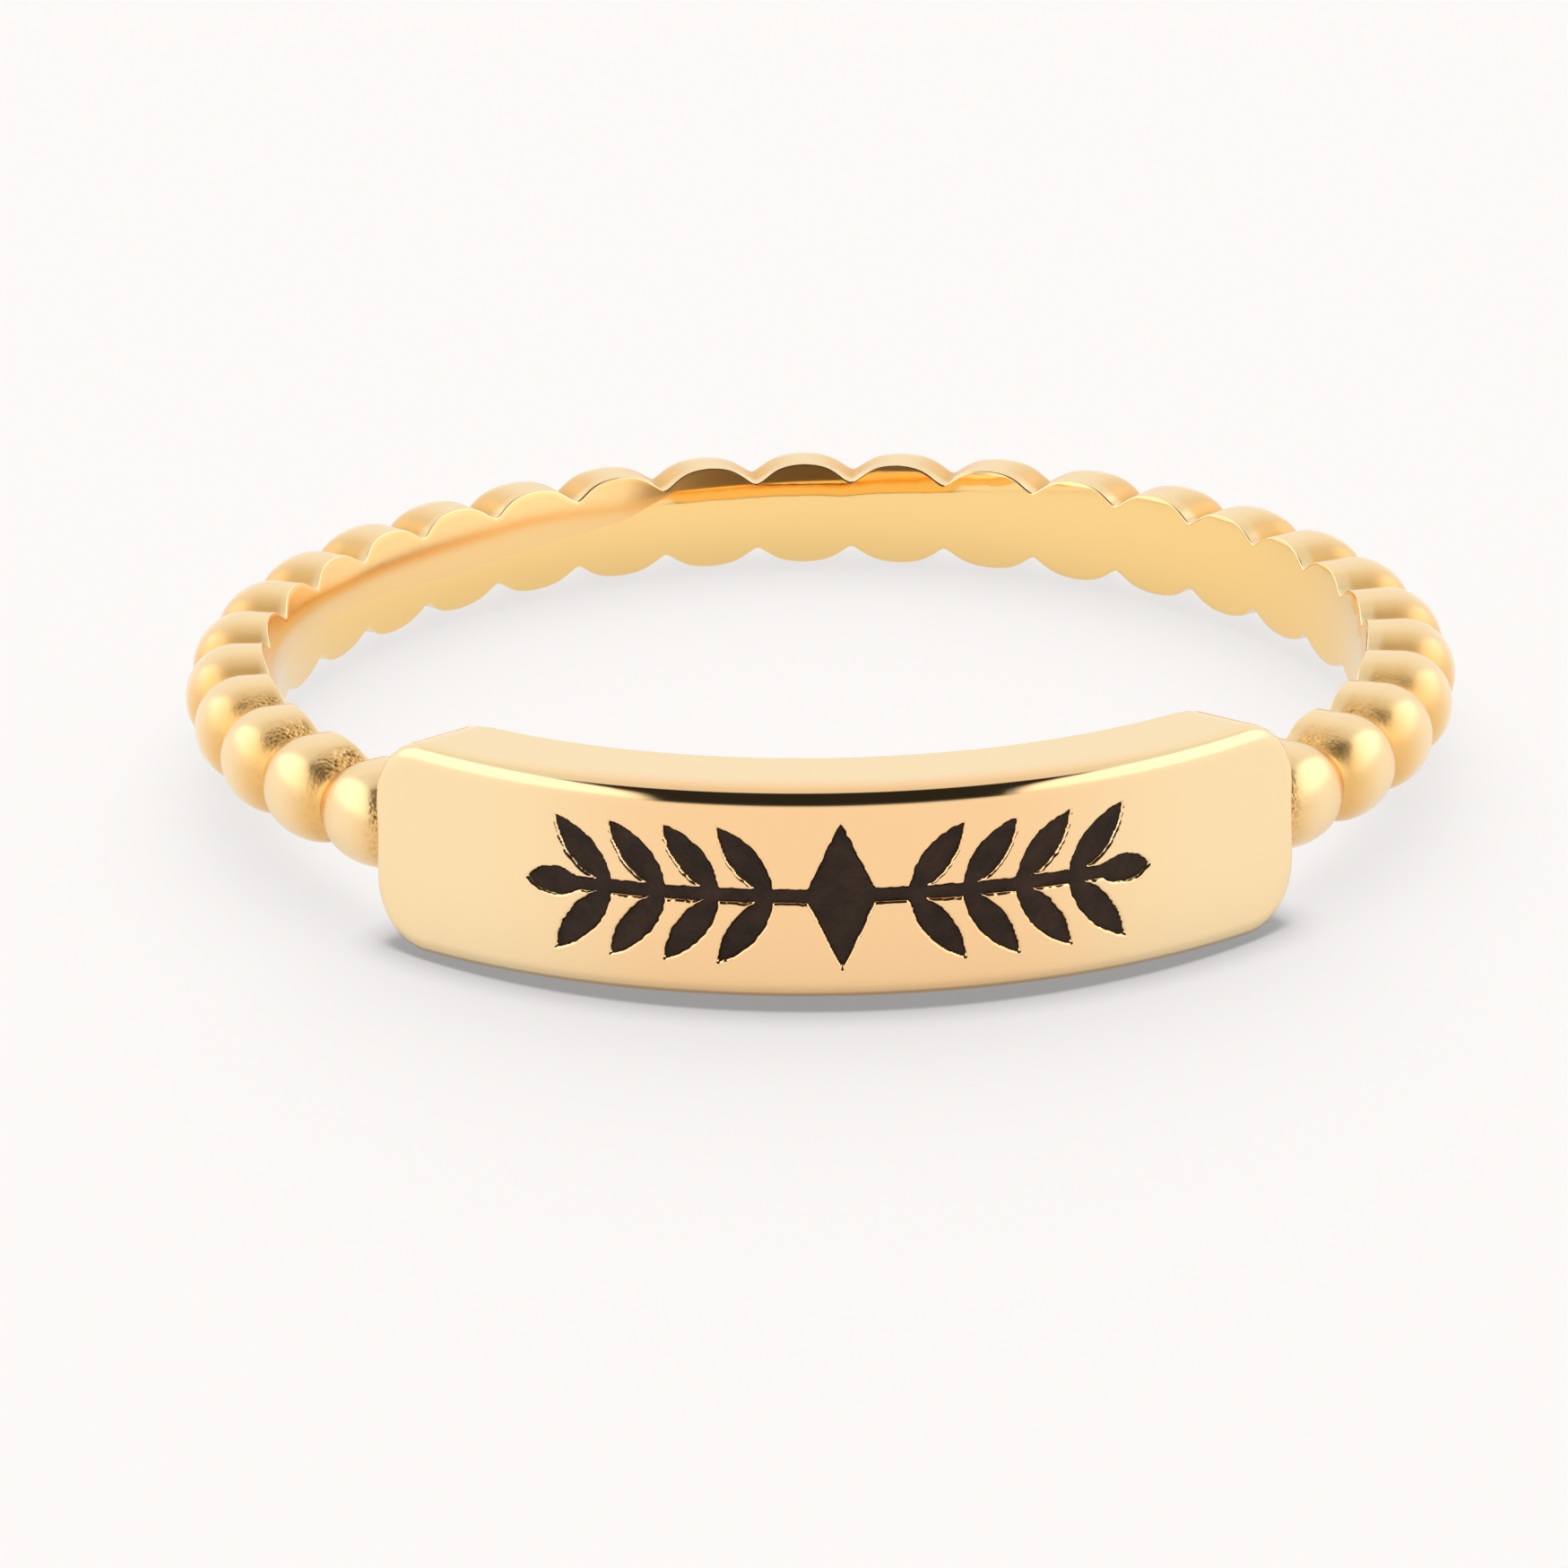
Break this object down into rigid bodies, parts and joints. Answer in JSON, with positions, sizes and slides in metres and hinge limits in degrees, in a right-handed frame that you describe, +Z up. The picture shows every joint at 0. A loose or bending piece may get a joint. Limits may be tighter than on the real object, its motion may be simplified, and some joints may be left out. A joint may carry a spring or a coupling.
{
  "type": "beaded ring",
  "caption": "Finger ring of touching beads with a curved, engraved bar plate at the front, lying on its side.",
  "frame": {"origin": "middle of the ring's box, on the surface that the ring lies on", "axes": "+Z up from that surface, the bar plate faces -Y, +X to the right of someone who looks at the plate"},
  "size_m": [0.0198, 0.0202, 0.0035],
  "materials": {
    "gold_plate": "polished yellow gold plating",
    "blackening": "dark matt filling"
  },
  "bodies": {
    "root": {"ring_body": "gold_plate", "engraving_fill": "blackening"}
  },
  "joints": []
}
